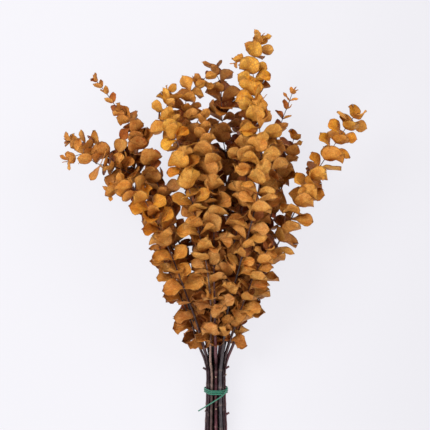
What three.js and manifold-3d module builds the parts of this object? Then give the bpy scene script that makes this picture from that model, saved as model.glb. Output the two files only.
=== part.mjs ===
// A bunch of dried eucalyptus lying on a surface: nineteen leafy stems held by a green wire tie.
// The stems run along +Y, the cut ends are at -Y, and +Z is up from the surface.
import * as THREE from 'three';
import Module from 'manifold-3d';

const wasm = await Module();
wasm.setup();

// Driving dimensions in millimetres
const STEM_RADIUS = 3.25;
const TIP_RADIUS = 0.75;
const TWIG_RADIUS = 1.1;
const STEM_SIDES = 6;
const STEM_PITCH = 6.1;
const STUB_LENGTH = 6.5;
const STUB_RADIUS = 1.6;
const BLADE_THICKNESS = 0.75;
const LEAF_LENGTH = 28;
const SMALL_LEAF = 22;
const LEAST_LEAN = 28;
const MOST_ROLL = 72;
const TWISTED_BY = 0.8;
const LEAST_RISE = 0.3;
const CORE_INSET = 0.03;
const CLEARANCE = 0.3;
const FOOT_DEPTH = 1.3;
const WIRE_RADIUS = 1;
const WIRE_SIDES = 6;
const WIRE_TURNS = 3;
const WIRE_RISE = 2.45;
const WIRE_GAP = 0.45;
const WIRE_ALONG = -7;

// The bundle rises from the cut ends to the leaves. Distances along it are measured from the gathering point,
// where the stems lie closest. They are straight a little below and above it, and spread from there.
const BUNDLE_HEIGHT = 27;
const BUNDLE_SLOPE = 0.116;
const BUNDLE_SPREAD = 0.0034;
const ROW_RISE = Math.sqrt(3) / 2;
const STRAIGHT_BELOW = 16;
const STRAIGHT_ABOVE = 20;
const OPENING_ABOVE = 38;
const BUNDLE_OPENING = 0.018;

// Leaves: where they start and how far apart the pairs stand, from the tip down
const BARE_ABOVE = 56;
const BARE_TWIG = 12;
const FIRST_PAIR = 5;
const TIP_SPACING = 10;
const SPRAY_SPACING = 24;
const SPRAY_LENGTH = 110;
const LOW_SPACING = 0.06;
const SLIMNESS = 0.4;
const ROUNDED_BY = 100;
const YOUNG_TIP = 52;
const CURLED_FROM = 170;
const CURLED_BY = 270;
const CURLED = 0.3;

// The middle of the whole bunch seen from above, measured from the gathering point, becomes the origin
const MIDDLE = new THREE.Vector3(-3.3, 211.3, 0.9);

// The wire's free end crosses its turns at the right, as [right, along, up] from the middle of the tie
const TAIL = [[16.2, 2.5, 9.2], [12, -4, 16.6], [7, -8.5, 16.8], [-8, -18.5, 16.4], [-26, -30, 13.5]];

const LEAF_COLOUR = 0xc98a3a;
const WIRE_COLOUR = 0x2f8f63;

// Each stem: its slot in the bundle as steps right and rows up, how far below the gathering point it is cut,
// the seed of its leaves, how grown its tip leaves are, how far apart its pairs stand, how slim its young
// leaves are and how fast the leaves of its tip grow where these differ, and its route as
// [right, along, up] from the gathering point.
const STEMS = {
  top_tall: {
    slot: [1, 2], cut: 80, seed: 11, age: 23, apart: 0.82, stubs: [],
    route: [[11, 65, 57], [16, 110, 73], [26, 150, 88], [40, 205, 108], [51, 246, 120], [58, 279, 126], [63, 315, 128],
      [63, 345, 127], [61, 375, 125], [56, 408, 122], [53, 439, 120], [53, 465, 118], [60, 492, 115], [65, 507, 114]],
    twigs: [{ seed: 12, age: 8, route: [[53, 468, 118], [44, 474, 119], [33, 471, 119], [25, 466, 118]] }],
  },
  left_bright: {
    slot: [-1, 2], cut: 86, seed: 17, age: 24, apart: 0.84, stubs: [],
    route: [[-8, 65, 57], [-7, 110, 75], [-10, 155, 92], [-15, 190, 105], [-22, 220, 117], [-30, 256, 129], [-37, 287, 136],
      [-45, 320, 138], [-52, 347, 138], [-65, 374, 133], [-71, 396, 130], [-66, 414, 126], [-64, 431, 124]],
    twigs: [{ seed: 18, age: 24, route: [[-50, 340, 138], [-56, 362, 142], [-63, 384, 141]] }],
  },
  centre_front: {
    slot: [0, 2], cut: 74, seed: 13, age: 20, apart: 0.84, stubs: [],
    route: [[-1, 65, 61], [-2, 125, 84], [-3, 188, 102], [-3, 237, 113], [-5, 286, 122], [-11, 330, 128], [-17, 360, 128],
      [-19, 378, 126], [-18, 394, 123]],
    twigs: [],
  },
  left_front: {
    slot: [-1.5, 1], cut: 72, seed: 19, age: 20, apart: 0.84, stubs: [[-41, 180]],
    route: [[-18, 60, 49], [-27, 93, 62], [-38, 125, 76], [-51, 162, 91], [-64, 197, 102], [-81, 235, 113], [-95, 264, 119],
      [-108, 284, 121], [-124, 293, 119], [-138, 292, 116], [-152, 286, 113]],
    twigs: [],
  },
  right_arching: {
    slot: [2, 0], cut: 84, seed: 5, age: 46, apart: 0.84, stubs: [[25, 0], [-45, 0]],
    route: [[25, 60, 37], [39, 95, 47], [62, 150, 60], [81, 194, 71], [98, 227, 79], [122, 274, 88], [145, 316, 92],
      [166, 348, 95], [184, 375, 98], [199, 396, 100]],
    twigs: [],
  },
  right_low: {
    slot: [1.5, 1], cut: 90, seed: 7, age: 26, apart: 0.95, stubs: [[14, 20]],
    route: [[19, 62, 49], [28, 92, 62], [40, 127, 78], [52, 160, 93], [64, 186, 104], [75, 208, 111]],
    twigs: [],
  },
  left_arching: {
    slot: [-1.5, -1], cut: 88, seed: 29, age: 18, apart: 0.88, stubs: [],
    route: [[-21, 62, 28], [-38, 113, 38], [-55, 172, 50], [-72, 227, 60], [-87, 273, 68], [-101, 300, 72], [-114, 316, 75],
      [-131, 329, 77], [-148, 339, 78], [-166, 348, 78], [-183, 355, 78], [-200, 359, 78], [-214, 359, 78]],
    twigs: [{ seed: 30, age: 14, route: [[-99, 297, 72], [-124, 313, 86], [-147, 322, 95], [-170, 326, 99], [-186, 338, 102],
      [-199, 337, 103], [-213, 328, 103]] }],
  },
  left_high: {
    slot: [-1, 0], cut: 78, seed: 61, age: 18, apart: 1.05, slim: 0.65, pace: 0.25, stubs: [],
    route: [[-13, 65, 37], [-28, 121, 47], [-42, 172, 59], [-56, 221, 69], [-69, 261, 77], [-81, 290, 83], [-92, 318, 88],
      [-102, 344, 92], [-111, 367, 94], [-126, 386, 96], [-141, 405, 97], [-156, 426, 98], [-173, 447, 98]],
    twigs: [],
  },
  left_low: {
    slot: [-2, 0], cut: 76, seed: 23, age: 26, apart: 0.95, stubs: [[23, 180]],
    route: [[-26, 62, 38], [-39, 103, 52], [-54, 140, 64], [-67, 168, 71], [-75, 188, 74], [-82, 207, 76]],
    twigs: [],
  },
  right_high: {
    slot: [1, 0], cut: 82, seed: 47, age: 18, apart: 1.05, slim: 0.65, pace: 0.25, stubs: [],
    route: [[14, 66, 39], [30, 129, 51], [47, 194, 63], [62, 251, 75], [74, 301, 85], [83, 346, 92], [92, 381, 98],
      [102, 408, 102], [110, 430, 105]],
    twigs: [],
  },
  centre_right: {
    slot: [0.5, 1], cut: 92, seed: 53, age: 26, apart: 0.92, stubs: [],
    route: [[6, 66, 49], [11, 122, 67], [18, 173, 83], [28, 223, 98], [38, 265, 107], [43, 300, 112], [40, 331, 113],
      [45, 358, 111], [48, 387, 108], [46, 412, 105]],
    twigs: [],
  },
  centre_left: {
    slot: [-0.5, 1], cut: 70, seed: 59, age: 20, apart: 0.9, stubs: [],
    route: [[-6, 66, 47], [-11, 129, 64], [-16, 187, 80], [-19, 237, 92], [-22, 286, 100], [-28, 328, 103], [-35, 359, 104],
      [-40, 389, 104], [-43, 413, 102], [-35, 430, 100], [-23, 441, 97], [-11, 453, 94]],
    twigs: [{ seed: 60, age: 22, route: [[-38, 377, 104], [-39, 392, 109], [-44, 405, 111]] }],
  },
  centre_dark: {
    slot: [-0.5, -1], cut: 84, seed: 67, age: 44, apart: 0.98, stubs: [],
    route: [[-5, 66, 29], [-2, 128, 42], [2, 187, 54], [9, 240, 65], [14, 287, 72], [15, 330, 77], [11, 358, 79],
      [9, 385, 80], [8, 415, 80], [7, 440, 80], [0, 458, 79], [1, 470, 78]],
    twigs: [],
  },
  right_back: {
    slot: [1.5, -1], cut: 74, seed: 43, age: 22, apart: 1.06, stubs: [],
    route: [[20, 64, 28], [39, 120, 36], [58, 176, 43], [71, 218, 48], [81, 252, 51], [89, 287, 54], [98, 319, 56],
      [109, 350, 59], [115, 368, 61]],
    twigs: [],
  },
  centre_core: {
    slot: [0, 0], cut: 88, seed: 73, age: 26, apart: 1.6, stubs: [],
    route: [[1, 66, 39], [9, 130, 52], [17, 190, 62], [23, 244, 69], [28, 287, 73], [28, 320, 75], [26, 341, 76]],
    twigs: [],
  },
  centre_back: {
    slot: [0.5, -1], cut: 80, seed: 71, age: 22, apart: 1.6, stubs: [],
    route: [[8, 68, 27], [17, 142, 35], [26, 208, 42], [35, 266, 47], [39, 316, 50], [35, 360, 52], [29, 396, 52]],
    twigs: [],
  },
  left_under: {
    slot: [-1, -2], cut: 72, seed: 31, age: 22, apart: 1.1, stubs: [],
    route: [[-14, 62, 19], [-36, 120, 22], [-60, 178, 26], [-84, 230, 28], [-108, 272, 30], [-127, 303, 31]],
    twigs: [],
  },
  centre_under: {
    slot: [0, -2], cut: 76, seed: 37, age: 22, apart: 1.3, stubs: [],
    route: [[-3, 70, 19], [-10, 138, 22], [-18, 205, 25], [-26, 266, 27], [-37, 317, 29], [-47, 358, 30], [-55, 390, 30]],
    twigs: [],
  },
  right_under: {
    slot: [1, -2], cut: 84, seed: 41, age: 22, apart: 1.1, stubs: [],
    route: [[13, 65, 19], [30, 132, 22], [48, 193, 25], [66, 244, 27], [85, 288, 29], [101, 324, 30]],
    twigs: [],
  },
};

// Blades: the rim as shares of length and width, from one side of the foot round the tip to the other side,
// and how much each point shares in the cup and in the wave
const ROUND_BLADE = {
  footTwist: 0.06,
  rim: [[0.11, 0.33], [0.43, 0.52], [0.8, 0.4], [1, 0], [0.8, -0.4], [0.43, -0.52], [0.11, -0.33]],
  cup: [0.15, 1, 0.8, 0.3, 0.8, 1, 0.15],
  wave: [0.3, -0.8, 1, 0, -1, 0.8, -0.3],
};
const SMALL_BLADE = {
  footTwist: 0.4,
  rim: [[0.24, 0.48], [0.74, 0.44], [1, 0], [0.74, -0.44], [0.24, -0.48]],
  cup: [0.4, 1, 0.3, 1, 0.4],
  wave: [0.5, -1, 0, 1, -0.5],
};

// How a leaf may bend away where it would touch a neighbour: pitch and twist in degrees, and its size
const ATTITUDES = [
  [0, 0, 1],
  [-14, 0, 1],
  [14, 0, 1],
  [0, 35, 1],
  [0, -35, 1],
  [-20, 30, 0.9],
  [-20, -30, 0.9],
  [20, 40, 0.9],
  [10, 70, 0.8],
  [-10, -70, 0.8],
  [28, 0, 1],
  [-28, 0, 1],
  [28, -50, 0.9],
  [0, 100, 0.9],
  [0, -100, 0.9],
  [-30, 50, 0.85],
  [30, 60, 0.8],
  [24, -20, 0.7],
  [-24, 20, 0.7],
];

const UP = new THREE.Vector3(0, 0, 1);
const { clamp, degToRad } = THREE.MathUtils;

// A seeded stream of draws between 0 and 1
function drawsFrom(seed) {
  let state = seed * 7919;
  const draw = () => {
    state = (state * 16807) % 2147483647;
    return state / 2147483647;
  };
  for (let i = 0; i < 5; i += 1) draw();
  return draw;
}

function bundleHeight(along) {
  return BUNDLE_HEIGHT + BUNDLE_SLOPE * along;
}

// The middle of a slot of the bundle at a distance along it: the slots part at both ends
function slotPoint([right, row], along) {
  const below = Math.max(0, -along - STRAIGHT_BELOW);
  const above = Math.max(0, along - STRAIGHT_ABOVE);
  const spread = 1 + BUNDLE_SPREAD * below + BUNDLE_OPENING * above;
  const x = right * STEM_PITCH * spread;
  const z = row * STEM_PITCH * ROW_RISE * spread;
  return new THREE.Vector3(x, along, bundleHeight(along) + z);
}

function solidFrom(vertices, triangles) {
  const mesh = new wasm.Mesh({
    numProp: 3,
    vertProperties: new Float32Array(vertices.flatMap((v) => [v.x, v.y, v.z])),
    triVerts: new Uint32Array(triangles.flat()),
  });
  return new wasm.Manifold(mesh);
}

// The rings of a tube through its centres: each has a middle, a direction, two axes across and its corners,
// with a flat side to the right
function ringsAlong(centres, radii, sides, reference) {
  const last = centres.length - 1;
  return centres.map((centre, i) => {
    const along = centres[Math.min(i + 1, last)].clone().sub(centres[Math.max(i - 1, 0)]).normalize();
    const side = along.clone().cross(reference).normalize();
    const up = side.clone().cross(along);
    const corners = Array.from({ length: sides }, (_, k) => {
      const angle = ((k + 0.5) / sides) * 2 * Math.PI;
      return centre.clone()
        .addScaledVector(side, radii[i] * Math.cos(angle))
        .addScaledVector(up, radii[i] * Math.sin(angle));
    });
    return { centre, along, side, up, radius: radii[i], corners };
  });
}

// A closed tube through rings. A leaf of a ring grows out of the side just below it: the top of the blade
// starts at the ring's edge and its underside at one point below that edge.
function tubeSolid(rings, leaves = []) {
  const sides = rings[0].corners.length;
  const last = (rings.length - 1) * sides;
  const vertices = rings.flatMap((ring) => ring.corners);
  const triangles = [];
  for (let i = 0; i < rings.length - 1; i += 1) {
    for (let k = 0; k < sides; k += 1) {
      const low = i * sides + k;
      const lowNext = i * sides + ((k + 1) % sides);
      const high = low + sides;
      const highNext = lowNext + sides;
      const leaf = leaves.find((one) => one.ring === i + 1 && one.sideIndex === k);
      if (leaf) {
        const under = vertices.push(leaf.under) - 1;
        triangles.push([low, high, under], [low, under, lowNext], [lowNext, under, highNext]);
        triangles.push(...bladeTriangles(vertices, leaf.shape, high, highNext, under));
      } else {
        triangles.push([low, high, lowNext], [lowNext, high, highNext]);
      }
    }
  }
  for (let k = 1; k < sides - 1; k += 1) {
    triangles.push([0, k, k + 1], [last, last + k + 1, last + k]);
  }
  return solidFrom(vertices, triangles);
}

// One face of a blade, split alike on both sides: a middle triangle from the foot to the tip, and fans to the rim
function faceTriangles(first, count) {
  const tip = first + (count - 1) / 2;
  const end = first + count - 1;
  const triangles = [[first, end, tip]];
  for (let i = first; i < tip - 1; i += 1) triangles.push([i, tip, i + 1]);
  for (let i = end; i > tip + 1; i -= 1) triangles.push([i, i - 1, tip]);
  return triangles;
}

// Adds a blade's rim to the vertices and joins its two faces and its edge to the foot on the stem
function bladeTriangles(vertices, shape, footLeft, footRight, under) {
  const count = shape.top.length;
  const top = vertices.push(...shape.top) - count;
  const bottom = vertices.push(...shape.bottom) - count;
  const end = top + count - 1;
  const triangles = [
    ...faceTriangles(top, count),
    ...faceTriangles(bottom, count).map(([a, b, c]) => [a, c, b]),
    [footRight, end, footLeft], [footLeft, end, top],
    [under, bottom, bottom + count - 1],
    [footLeft, top, under], [top, bottom, under],
    [end, footRight, end + count], [footRight, under, end + count],
  ];
  for (let i = top; i < end; i += 1) {
    triangles.push([i, i + 1, i + count], [i + 1, i + 1 + count, i + count]);
  }
  return triangles;
}

// The rim of a leaf in one attitude, on both faces, grown by a margin and drawn back towards the foot by it
function bladeShape(leaf, [pitch, twist, scale], margin) {
  const around = degToRad(leaf.spin);
  const out = leaf.side.clone().multiplyScalar(Math.cos(around)).addScaledVector(leaf.up, Math.sin(around));
  const lean = degToRad(Math.max(LEAST_LEAN, leaf.pitch + pitch));
  const forward = leaf.along.clone().multiplyScalar(Math.cos(lean)).addScaledVector(out, Math.sin(lean));
  const flatAcross = leaf.along.clone().cross(out);
  const flatNormal = forward.clone().cross(flatAcross);
  const facing = flatNormal.z * flatAcross.z >= 0 ? -1 : 1;
  const roll = degToRad(clamp(leaf.twist * facing + twist, -MOST_ROLL, MOST_ROLL));
  const first = leaf.blade.rim[0][0];
  const half = BLADE_THICKNESS / 2 + margin;
  const top = [];
  const bottom = [];
  leaf.blade.rim.forEach(([a, b], i) => {
    const turned = roll * clamp((a - first) / (TWISTED_BY - first), leaf.blade.footTwist, 1);
    const across = flatAcross.clone().multiplyScalar(Math.cos(turned)).addScaledVector(flatNormal, Math.sin(turned));
    const normal = flatNormal.clone().multiplyScalar(Math.cos(turned)).addScaledVector(flatAcross, -Math.sin(turned));
    const lift = (leaf.blade.cup[i] * leaf.cup + leaf.blade.wave[i] * leaf.wave) * scale;
    const middle = leaf.foot.clone()
      .addScaledVector(forward, a * leaf.length * scale + (a - 0.5) * 4 * margin)
      .addScaledVector(across, b * (leaf.width * scale + 4 * margin))
      .addScaledVector(normal, lift);
    top.push(middle.clone().addScaledVector(normal, half));
    bottom.push(middle.addScaledVector(normal, -half));
  });
  return { top, bottom };
}

// A blade with its foot, as a closed solid with its box
function bladeSolid(leaf, shape) {
  const vertices = [leaf.left, leaf.right, leaf.under];
  const triangles = [...bladeTriangles(vertices, shape, 0, 1, 2), [0, 2, 1]];
  return { solid: solidFrom(vertices, triangles), box: new THREE.Box3().setFromPoints(vertices) };
}

function meets(a, b) {
  if (!a.box.intersectsBox(b.box)) return false;
  const common = a.solid.intersect(b.solid);
  const found = !common.isEmpty();
  common.delete();
  return found;
}

// The distances from the tip down at which the pairs of leaves of a branch stand
function pairDistances(length, bare, apart, draw) {
  const distances = [];
  let fromTip = FIRST_PAIR;
  while (fromTip < length - bare) {
    distances.push(fromTip);
    const spacing = fromTip < SPRAY_LENGTH
      ? TIP_SPACING + (SPRAY_SPACING - TIP_SPACING) * (fromTip / SPRAY_LENGTH)
      : SPRAY_SPACING + LOW_SPACING * (fromTip - SPRAY_LENGTH);
    fromTip += spacing * apart * (0.92 + 0.16 * draw());
  }
  return distances;
}

// A stem or twig: its rings, one of them at each pair of leaves, and the leaves that it would bear
function branchFrom({ route, low, fullUpTo, fullRadius, bare, seed, age, apart, slim = SLIMNESS, pace = 1 }) {
  const draw = drawsFrom(seed);
  const curve = new THREE.CatmullRomCurve3(route, false, 'catmullrom', 0.5);
  const length = curve.getLength();
  const distances = pairDistances(length, bare, apart, draw);
  const places = [...low, ...distances.map((fromTip) => length - fromTip).reverse(), length];
  const centres = places.map((place) => curve.getPointAt(place / length));
  const radii = places.map((place) => {
    const above = Math.max(0, (place - fullUpTo) / (length - fullUpTo));
    return TIP_RADIUS + (fullRadius - TIP_RADIUS) * (1 - above) ** 1.5;
  });
  const rings = ringsAlong(centres, radii, STEM_SIDES, UP);
  const turn = 90 * draw();
  const leaves = distances.flatMap((fromTip, pair) => {
    const ring = places.length - 2 - pair;
    const leafAge = age + pace * Math.min(fromTip, YOUNG_TIP) + Math.max(0, fromTip - YOUNG_TIP);
    return [0, 1].map((half) => leafAt(rings, ring, pair, half, leafAge, slim, turn, draw));
  });
  return { rings, leaves };
}

// One leaf of a pair, on the side of the stem that its direction is nearest to
function leafAt(rings, ring, pair, half, age, slim, turn, draw) {
  const { centre, along, side, up, corners } = rings[ring];
  const [spinDraw, pitchDraw, twistDraw, sizeDraw, plumpDraw, cupDraw, waveDraw] = Array.from({ length: 7 }, draw);
  const grown = 1 - Math.exp(-age / 32);
  const curled = CURLED * clamp((age - CURLED_FROM) / (CURLED_BY - CURLED_FROM), 0, 1);
  const roundness = 1 - slim * Math.exp(-age / (ROUNDED_BY * slim)) - curled;
  const length = LEAF_LENGTH * grown * (0.86 + 0.28 * sizeDraw);
  const wanted = turn + 90 * (pair % 2) + 180 * half;
  const sideIndex = (Math.round((wanted / 360) * STEM_SIDES) - 1 + STEM_SIDES) % STEM_SIDES;
  const left = corners[sideIndex];
  const right = corners[(sideIndex + 1) % STEM_SIDES];
  const foot = left.clone().lerp(right, 0.5);
  const flatSide = 360 * (sideIndex + 1) / STEM_SIDES;
  return {
    ring,
    pair,
    sideIndex,
    left,
    right,
    foot,
    face: foot.clone().sub(centre).normalize(),
    under: foot.clone().addScaledVector(along, -FOOT_DEPTH),
    along,
    side,
    up,
    spin: flatSide + 12 * (spinDraw - 0.5),
    pitch: 38 + 30 * grown * Math.cos(degToRad(flatSide)) ** 2 + 26 * (pitchDraw - 0.5),
    twist: (twistDraw < 0.85 ? 1 : -1) * (35 + 40 * Math.abs(2 * twistDraw - 1)),
    length,
    width: length * (roundness + 0.14 * (plumpDraw - 0.5)),
    cup: length * (0.04 + 0.16 * cupDraw),
    wave: length * 0.1 * (waveDraw - 0.5),
    blade: length > SMALL_LEAF ? ROUND_BLADE : SMALL_BLADE,
  };
}

function stemBranch(stem) {
  const low = [-stem.cut, -STRAIGHT_BELOW, STRAIGHT_ABOVE, OPENING_ABOVE];
  return branchFrom({
    route: [...low.map((along) => slotPoint(stem.slot, along)), ...stem.route.map((p) => new THREE.Vector3(...p))],
    low: low.map((along) => along + stem.cut),
    fullUpTo: stem.cut + STRAIGHT_ABOVE,
    fullRadius: STEM_RADIUS,
    bare: stem.cut + BARE_ABOVE,
    seed: stem.seed,
    age: stem.age,
    apart: stem.apart,
    slim: stem.slim,
    pace: stem.pace,
  });
}

function twigBranch(twig) {
  return branchFrom({
    route: twig.route.map((p) => new THREE.Vector3(...p)),
    low: [0],
    fullUpTo: 0,
    fullRadius: TWIG_RADIUS,
    bare: BARE_TWIG,
    seed: twig.seed,
    age: twig.age,
    apart: 1,
  });
}

// A short cut stub of a side twig, pointing out of the stem and a little up it
function stubSolid(stem, [along, angle]) {
  const foot = slotPoint(stem.slot, along);
  const out = new THREE.Vector3(Math.cos(degToRad(angle)), 0.5, Math.sin(degToRad(angle)));
  const end = foot.clone().addScaledVector(out, STUB_LENGTH);
  return tubeSolid(ringsAlong([foot, end], [STUB_RADIUS, STUB_RADIUS * 0.85], STEM_SIDES, UP));
}

function withBox(solid) {
  const { min, max } = solid.boundingBox();
  return { solid, box: new THREE.Box3(new THREE.Vector3(...min), new THREE.Vector3(...max)) };
}

// Rings a little inside the given ones, which a blade may touch but not enter
function slimmer(rings) {
  return rings.map((ring) => ({ corners: ring.corners.map((corner) => corner.clone().lerp(ring.centre, CORE_INSET)) }));
}

// Gives a leaf the first attitude in which it is clear of what is there, or none
function settle(leaf, own, others, placed) {
  const near = placed.filter((one) => one.branch !== own);
  const siblings = placed.filter((one) => one.branch === own);
  for (const attitude of ATTITUDES) {
    const shape = bladeShape(leaf, attitude, 0);
    const bare = bladeSolid(leaf, shape);
    const grown = bladeSolid(leaf, bladeShape(leaf, attitude, CLEARANCE));
    const beside = [shape.top[0], shape.top.at(-1), shape.bottom[0], shape.bottom.at(-1)];
    const clear = grown.box.min.z > 0
      && beside.every((corner) => corner.clone().sub(leaf.foot).dot(leaf.face) > LEAST_RISE)
      && !meets(bare, own.core)
      && !others.some((other) => meets(grown, other))
      && !near.some((one) => meets(grown, one.grown))
      && !siblings.some((one) => meets(bare, one.bare));
    if (clear) return { branch: own, pair: leaf.pair, grown, bare, leaf: { ...leaf, shape } };
    grown.solid.delete();
    bare.solid.delete();
  }
  return null;
}

function mesh(name, solid, colour, roughness) {
  const { numProp, vertProperties, triVerts } = solid.getMesh();
  const geometry = new THREE.BufferGeometry();
  geometry.setAttribute('position', new THREE.BufferAttribute(vertProperties, numProp));
  geometry.setIndex(new THREE.BufferAttribute(triVerts, 1));
  geometry.computeVertexNormals();
  const made = new THREE.Mesh(geometry, new THREE.MeshStandardMaterial({ color: colour, roughness, metalness: 0 }));
  made.name = name;
  return made;
}

// The bare stems and twigs are laid first, then the leaves are set one by one
function leafyStems() {
  const stems = Object.entries(STEMS).map(([name, stem]) => {
    const branches = [stemBranch(stem), ...stem.twigs.map(twigBranch)];
    branches.forEach((branch) => {
      branch.tube = withBox(tubeSolid(branch.rings));
      branch.core = withBox(tubeSolid(slimmer(branch.rings)));
    });
    return { name, branches, stubs: stem.stubs.map((stub) => stubSolid(stem, stub)) };
  });
  const everyBranch = stems.flatMap((stem) => stem.branches);
  const placed = [];
  for (const branch of everyBranch) {
    const others = everyBranch.filter((other) => other !== branch).map((other) => other.tube);
    for (const leaf of branch.leaves) {
      const settled = settle(leaf, branch, others, placed);
      if (settled) placed.push(settled);
    }
  }
  return stems.map(({ name, branches, stubs }) => {
    const grown = branches.map((branch) => tubeSolid(
      branch.rings,
      placed.filter((one) => one.branch === branch).map((one) => one.leaf),
    ));
    const whole = [...grown, ...stubs].reduce((all, piece) => all.add(piece));
    return mesh(`leafy_stem_${name}`, whole, LEAF_COLOUR, 0.8);
  });
}

// The wire rises in turns round the bundle's twelve outer corners, square to the stems, then crosses the turns
// at the right to its free end
function wireCentres() {
  const corner = new THREE.Vector2(2 * STEM_PITCH + STEM_RADIUS * ROW_RISE, STEM_RADIUS / 2);
  const reach = corner.length() + (WIRE_RADIUS + WIRE_GAP) / Math.cos(Math.PI / 12);
  const cornerAngle = Math.atan2(corner.y, corner.x);
  const top = (WIRE_TURNS / 2) * WIRE_RISE;
  const point = (angle, along) => new THREE.Vector3(
    reach * Math.cos(angle),
    along - BUNDLE_SLOPE * reach * Math.sin(angle),
    bundleHeight(along) + reach * Math.sin(angle),
  );
  const centres = [];
  for (let step = 0; step < 12 * WIRE_TURNS + 2; step += 1) {
    const angle = Math.floor(step / 2) * (Math.PI / 3) + (step % 2 === 0 ? -cornerAngle : cornerAngle);
    centres.push(point(angle, WIRE_ALONG + (step / 12) * WIRE_RISE - top));
  }
  const tail = TAIL.map(([x, y, z]) => new THREE.Vector3(x, WIRE_ALONG + y, bundleHeight(WIRE_ALONG + y) + z));
  return [...centres, ...tail];
}

function wireTie() {
  const centres = wireCentres();
  const rings = ringsAlong(centres, centres.map(() => WIRE_RADIUS), WIRE_SIDES, new THREE.Vector3(0, 1, 0));
  return mesh('tie', tubeSolid(rings), WIRE_COLOUR, 0.5);
}

const bunch = new THREE.Group();
bunch.add(...leafyStems());
bunch.add(wireTie());
bunch.position.copy(MIDDLE).negate();
bunch.updateMatrixWorld(true);

export default bunch;
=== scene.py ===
import math
import random
from bisect import bisect_right

import bpy
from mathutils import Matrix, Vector, noise
from mathutils.kdtree import KDTree


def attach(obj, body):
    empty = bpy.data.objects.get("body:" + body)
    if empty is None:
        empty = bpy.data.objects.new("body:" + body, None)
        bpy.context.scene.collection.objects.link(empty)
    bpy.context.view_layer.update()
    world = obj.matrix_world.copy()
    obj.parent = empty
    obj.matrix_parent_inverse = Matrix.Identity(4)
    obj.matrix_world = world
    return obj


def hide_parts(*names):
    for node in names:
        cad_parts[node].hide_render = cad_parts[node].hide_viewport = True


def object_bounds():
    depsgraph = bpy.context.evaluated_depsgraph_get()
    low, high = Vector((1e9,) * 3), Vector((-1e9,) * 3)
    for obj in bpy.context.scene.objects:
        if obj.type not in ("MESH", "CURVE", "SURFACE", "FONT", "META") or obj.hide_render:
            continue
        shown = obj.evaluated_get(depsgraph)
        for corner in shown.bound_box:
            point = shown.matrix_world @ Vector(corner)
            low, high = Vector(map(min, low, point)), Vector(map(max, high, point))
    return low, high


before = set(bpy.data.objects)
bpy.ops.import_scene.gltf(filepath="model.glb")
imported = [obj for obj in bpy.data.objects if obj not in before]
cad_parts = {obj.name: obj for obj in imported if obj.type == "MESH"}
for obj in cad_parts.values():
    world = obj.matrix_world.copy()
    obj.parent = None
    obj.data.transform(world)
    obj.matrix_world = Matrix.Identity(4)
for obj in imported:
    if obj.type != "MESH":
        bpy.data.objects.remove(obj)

cad_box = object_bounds()

# The same driving dimensions as the frame's
MIDDLE = Vector((-3.3, 211.3, 0.9))
STEM_RADIUS = 3.25
TIP_RADIUS = 0.75
TWIG_RADIUS = 1.1
STEM_SIDES = 6
STEM_PITCH = 6.1
STUB_LENGTH = 6.5
STUB_RADIUS = 1.6
BLADE_THICKNESS = 0.75
LEAF_LENGTH = 28
SMALL_LEAF = 22
LEAST_LEAN = 28
MOST_ROLL = 72
TWISTED_BY = 0.8
WIRE_RADIUS = 1
WIRE_TURNS = 3
WIRE_RISE = 2.45
WIRE_GAP = 0.45
WIRE_ALONG = -7
BUNDLE_HEIGHT = 27
BUNDLE_SLOPE = 0.116
BUNDLE_SPREAD = 0.0034
ROW_RISE = math.sqrt(3) / 2
STRAIGHT_BELOW = 16
STRAIGHT_ABOVE = 20
OPENING_ABOVE = 38
BUNDLE_OPENING = 0.018
BARE_ABOVE = 56
BARE_TWIG = 12
FIRST_PAIR = 5
TIP_SPACING = 10
SPRAY_SPACING = 24
SPRAY_LENGTH = 110
LOW_SPACING = 0.06
LEAST_SPACING = 0.92
SPACING_RANGE = 0.16
SLIMNESS = 0.4
ROUNDED_BY = 100
YOUNG_TIP = 52
CURLED_FROM = 170
CURLED_BY = 270
CURLED = 0.3
TAIL = [[16.2, 2.5, 9.2], [12, -4, 16.6], [7, -8.5, 16.8], [-8, -18.5, 16.4], [-26, -30, 13.5]]

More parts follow.
